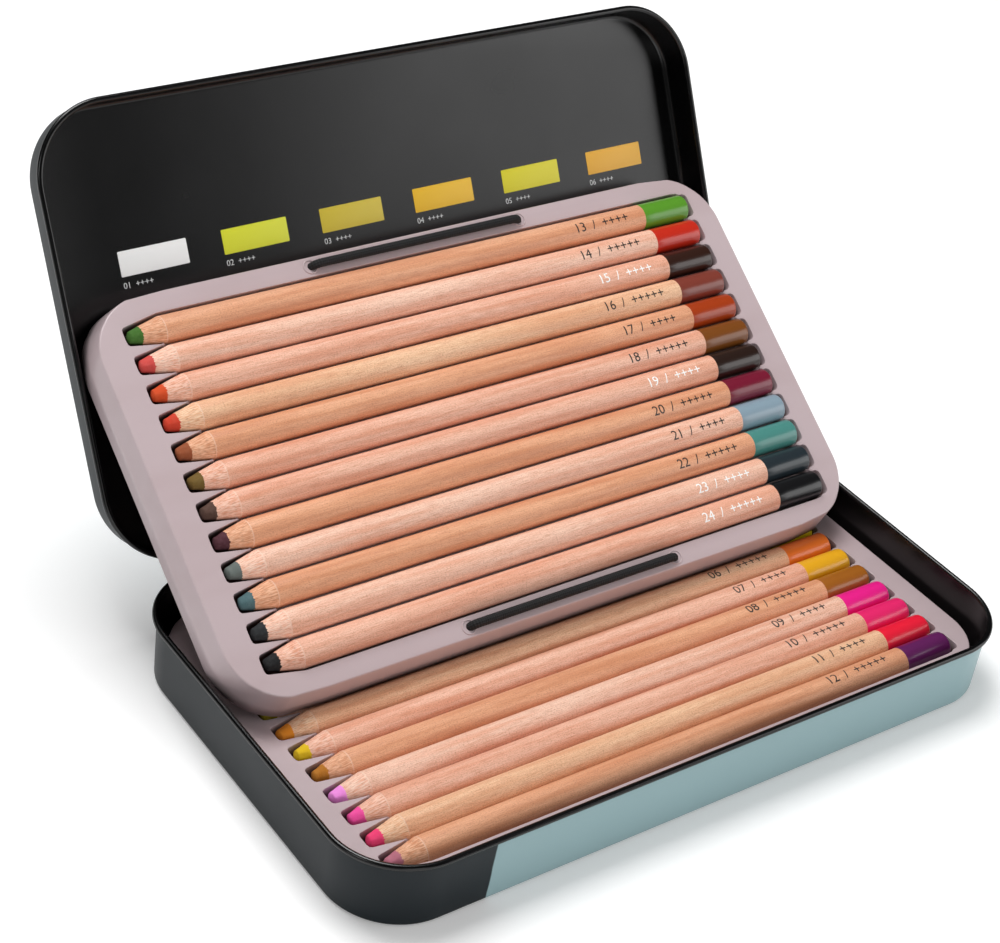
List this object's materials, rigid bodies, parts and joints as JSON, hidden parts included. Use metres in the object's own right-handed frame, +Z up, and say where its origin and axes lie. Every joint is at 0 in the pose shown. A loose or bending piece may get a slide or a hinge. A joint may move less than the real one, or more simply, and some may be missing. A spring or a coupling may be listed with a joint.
{
  "type": "pastel pencil tin",
  "caption": "Round-cornered hinged tin standing open, with formed trays of sharpened pastel pencils, one tray lying in the base and one leaning on the lid.",
  "frame": {"origin": "centre of the tin base's underside", "axes": "+Z up, +X along the pencils from point to dipped end, +Y towards the hinge"},
  "size_m": [0.2016, 0.1819, 0.1221],
  "materials": {
    "base_paint": "satin, part slate and part pale teal",
    "lid_paint": "satin outside, near-black inside",
    "hinge_wire": "bare wire",
    "tray_plastic": "satin formed sheet",
    "elastic": "braided elastic",
    "cedar": "clear lacquer, dipped end",
    "pastel_upper_01": "chalky",
    "pastel_upper_02": "chalky",
    "pastel_upper_03": "chalky",
    "pastel_upper_04": "chalky",
    "pastel_upper_05": "chalky",
    "pastel_upper_06": "chalky",
    "pastel_upper_07": "chalky",
    "pastel_upper_08": "chalky",
    "pastel_upper_09": "chalky",
    "pastel_upper_10": "chalky",
    "pastel_upper_11": "chalky",
    "pastel_upper_12": "chalky",
    "pastel_lower_01": "chalky",
    "pastel_lower_02": "chalky",
    "pastel_lower_03": "chalky",
    "pastel_lower_04": "chalky",
    "pastel_lower_05": "chalky",
    "pastel_lower_06": "chalky",
    "pastel_lower_07": "chalky",
    "pastel_lower_08": "chalky",
    "pastel_lower_09": "chalky",
    "pastel_lower_10": "chalky",
    "pastel_lower_11": "chalky",
    "pastel_lower_12": "chalky"
  },
  "bodies": {
    "base": {"tin_base": "base_paint", "hinge_pins": "hinge_wire", "lower_tray": "tray_plastic", "lower_casing_05": "cedar", "lower_core_05": "pastel_lower_05", "lower_casing_06": "cedar", "lower_core_06": "pastel_lower_06"},
    "lid": {"tin_lid": "lid_paint"},
    "upper_tray": {"upper_tray": "tray_plastic", "pull_cord_back": "elastic", "pull_cord_front": "elastic"},
    "upper_pencil_01": {"upper_casing_01": "cedar", "upper_core_01": "pastel_upper_01"},
    "upper_pencil_02": {"upper_casing_02": "cedar", "upper_core_02": "pastel_upper_02"},
    "upper_pencil_03": {"upper_casing_03": "cedar", "upper_core_03": "pastel_upper_03"},
    "upper_pencil_04": {"upper_casing_04": "cedar", "upper_core_04": "pastel_upper_04"},
    "upper_pencil_05": {"upper_casing_05": "cedar", "upper_core_05": "pastel_upper_05"},
    "upper_pencil_06": {"upper_casing_06": "cedar", "upper_core_06": "pastel_upper_06"},
    "upper_pencil_07": {"upper_casing_07": "cedar", "upper_core_07": "pastel_upper_07"},
    "upper_pencil_08": {"upper_casing_08": "cedar", "upper_core_08": "pastel_upper_08"},
    "upper_pencil_09": {"upper_casing_09": "cedar", "upper_core_09": "pastel_upper_09"},
    "upper_pencil_10": {"upper_casing_10": "cedar", "upper_core_10": "pastel_upper_10"},
    "upper_pencil_11": {"upper_casing_11": "cedar", "upper_core_11": "pastel_upper_11"},
    "upper_pencil_12": {"upper_casing_12": "cedar", "upper_core_12": "pastel_upper_12"},
    "lower_pencil_01": {"lower_casing_01": "cedar", "lower_core_01": "pastel_lower_01"},
    "lower_pencil_02": {"lower_casing_02": "cedar", "lower_core_02": "pastel_lower_02"},
    "lower_pencil_03": {"lower_casing_03": "cedar", "lower_core_03": "pastel_lower_03"},
    "lower_pencil_04": {"lower_casing_04": "cedar", "lower_core_04": "pastel_lower_04"},
    "lower_pencil_07": {"lower_casing_07": "cedar", "lower_core_07": "pastel_lower_07"},
    "lower_pencil_08": {"lower_casing_08": "cedar", "lower_core_08": "pastel_lower_08"},
    "lower_pencil_09": {"lower_casing_09": "cedar", "lower_core_09": "pastel_lower_09"},
    "lower_pencil_10": {"lower_casing_10": "cedar", "lower_core_10": "pastel_lower_10"},
    "lower_pencil_11": {"lower_casing_11": "cedar", "lower_core_11": "pastel_lower_11"},
    "lower_pencil_12": {"lower_casing_12": "cedar", "lower_core_12": "pastel_lower_12"}
  },
  "joints": [
    {"name": "lid_hinge", "type": "hinge", "parent": "base", "child": "lid", "pos_m": [0, 0.0595, 0.01955], "axis": [-1, 0, 0], "range_deg": [-119, 0]},
    {"name": "tray_carry", "type": "hinge", "parent": "lid", "child": "upper_tray", "pos_m": [0, 0.10975, 0.10485], "axis": [-1, 0, 0], "range_deg": [0, 152.81]},
    {"name": "upper_pencil_01_lift", "type": "slide", "parent": "upper_tray", "child": "upper_pencil_01", "axis": [0, -0.5558, 0.8313], "range_m": [0, 0.018]},
    {"name": "upper_pencil_02_lift", "type": "slide", "parent": "upper_tray", "child": "upper_pencil_02", "axis": [0, -0.5558, 0.8313], "range_m": [0, 0.018]},
    {"name": "upper_pencil_03_lift", "type": "slide", "parent": "upper_tray", "child": "upper_pencil_03", "axis": [0, -0.5558, 0.8313], "range_m": [0, 0.018]},
    {"name": "upper_pencil_04_lift", "type": "slide", "parent": "upper_tray", "child": "upper_pencil_04", "axis": [0, -0.5558, 0.8313], "range_m": [0, 0.018]},
    {"name": "upper_pencil_05_lift", "type": "slide", "parent": "upper_tray", "child": "upper_pencil_05", "axis": [0, -0.5558, 0.8313], "range_m": [0, 0.018]},
    {"name": "upper_pencil_06_lift", "type": "slide", "parent": "upper_tray", "child": "upper_pencil_06", "axis": [0, -0.5558, 0.8313], "range_m": [0, 0.018]},
    {"name": "upper_pencil_07_lift", "type": "slide", "parent": "upper_tray", "child": "upper_pencil_07", "axis": [0, -0.5558, 0.8313], "range_m": [0, 0.018]},
    {"name": "upper_pencil_08_lift", "type": "slide", "parent": "upper_tray", "child": "upper_pencil_08", "axis": [0, -0.5558, 0.8313], "range_m": [0, 0.018]},
    {"name": "upper_pencil_09_lift", "type": "slide", "parent": "upper_tray", "child": "upper_pencil_09", "axis": [0, -0.5558, 0.8313], "range_m": [0, 0.018]},
    {"name": "upper_pencil_10_lift", "type": "slide", "parent": "upper_tray", "child": "upper_pencil_10", "axis": [0, -0.5558, 0.8313], "range_m": [0, 0.018]},
    {"name": "upper_pencil_11_lift", "type": "slide", "parent": "upper_tray", "child": "upper_pencil_11", "axis": [0, -0.5558, 0.8313], "range_m": [0, 0.018]},
    {"name": "upper_pencil_12_lift", "type": "slide", "parent": "upper_tray", "child": "upper_pencil_12", "axis": [0, -0.5558, 0.8313], "range_m": [0, 0.018]},
    {"name": "lower_pencil_01_lift", "type": "slide", "parent": "base", "child": "lower_pencil_01", "axis": [0, 0, 1], "range_m": [0, 0.02]},
    {"name": "lower_pencil_02_lift", "type": "slide", "parent": "base", "child": "lower_pencil_02", "axis": [0, 0, 1], "range_m": [0, 0.015]},
    {"name": "lower_pencil_03_lift", "type": "slide", "parent": "base", "child": "lower_pencil_03", "axis": [0, 0, 1], "range_m": [0, 0.01]},
    {"name": "lower_pencil_04_lift", "type": "slide", "parent": "base", "child": "lower_pencil_04", "axis": [0, 0, 1], "range_m": [0, 0.0045]},
    {"name": "lower_pencil_07_lift", "type": "slide", "parent": "base", "child": "lower_pencil_07", "axis": [0, 0, 1], "range_m": [0, 0.02]},
    {"name": "lower_pencil_08_lift", "type": "slide", "parent": "base", "child": "lower_pencil_08", "axis": [0, 0, 1], "range_m": [0, 0.02]},
    {"name": "lower_pencil_09_lift", "type": "slide", "parent": "base", "child": "lower_pencil_09", "axis": [0, 0, 1], "range_m": [0, 0.02]},
    {"name": "lower_pencil_10_lift", "type": "slide", "parent": "base", "child": "lower_pencil_10", "axis": [0, 0, 1], "range_m": [0, 0.02]},
    {"name": "lower_pencil_11_lift", "type": "slide", "parent": "base", "child": "lower_pencil_11", "axis": [0, 0, 1], "range_m": [0, 0.02]},
    {"name": "lower_pencil_12_lift", "type": "slide", "parent": "base", "child": "lower_pencil_12", "axis": [0, 0, 1], "range_m": [0, 0.02]}
  ],
  "couplings": [
    {"joint": "tray_carry", "follows": "lid_hinge", "ratio": -1.2837}
  ]
}
